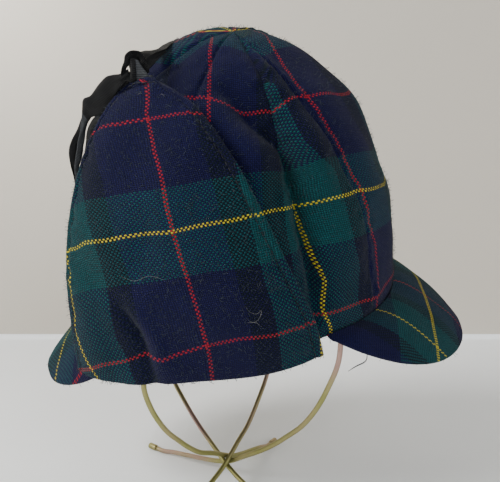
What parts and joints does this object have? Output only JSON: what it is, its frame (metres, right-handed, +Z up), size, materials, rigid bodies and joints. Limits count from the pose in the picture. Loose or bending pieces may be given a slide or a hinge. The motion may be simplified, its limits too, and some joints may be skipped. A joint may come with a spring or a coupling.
{
  "type": "deerstalker hat on a wire hat stand",
  "caption": "Deerstalker hat of woven tartan wool with peaks and tied-up ear flaps, resting on a plain folding wire hat stand.",
  "frame": {"origin": "centre of the bounding box, on the table under the stand's feet", "axes": "+Z up, -Y the way the hat faces, -X the wearer's right"},
  "size_m": [0.194, 0.3018, 0.314],
  "materials": {
    "tartan_wool": "brushed plain-woven wool tartan, navy, green and black with red and yellow lines",
    "ribbon": "black grosgrain ribbon",
    "wire": "yellow-passivated bright steel wire"
  },
  "bodies": {
    "root": {"stand_loop_inner": "wire", "stand_foot_1": "wire", "stand_foot_2": "wire", "stand_loop_outer": "wire", "stand_foot_3": "wire", "stand_foot_4": "wire", "crown": "tartan_wool", "front_peak": "tartan_wool", "back_peak": "tartan_wool", "ear_flap_right": "tartan_wool", "ear_flap_left": "tartan_wool", "tie_right": "ribbon", "tie_left": "ribbon", "tie_tail": "ribbon", "tie_bow": "ribbon", "tie_knot": "ribbon"}
  },
  "joints": []
}
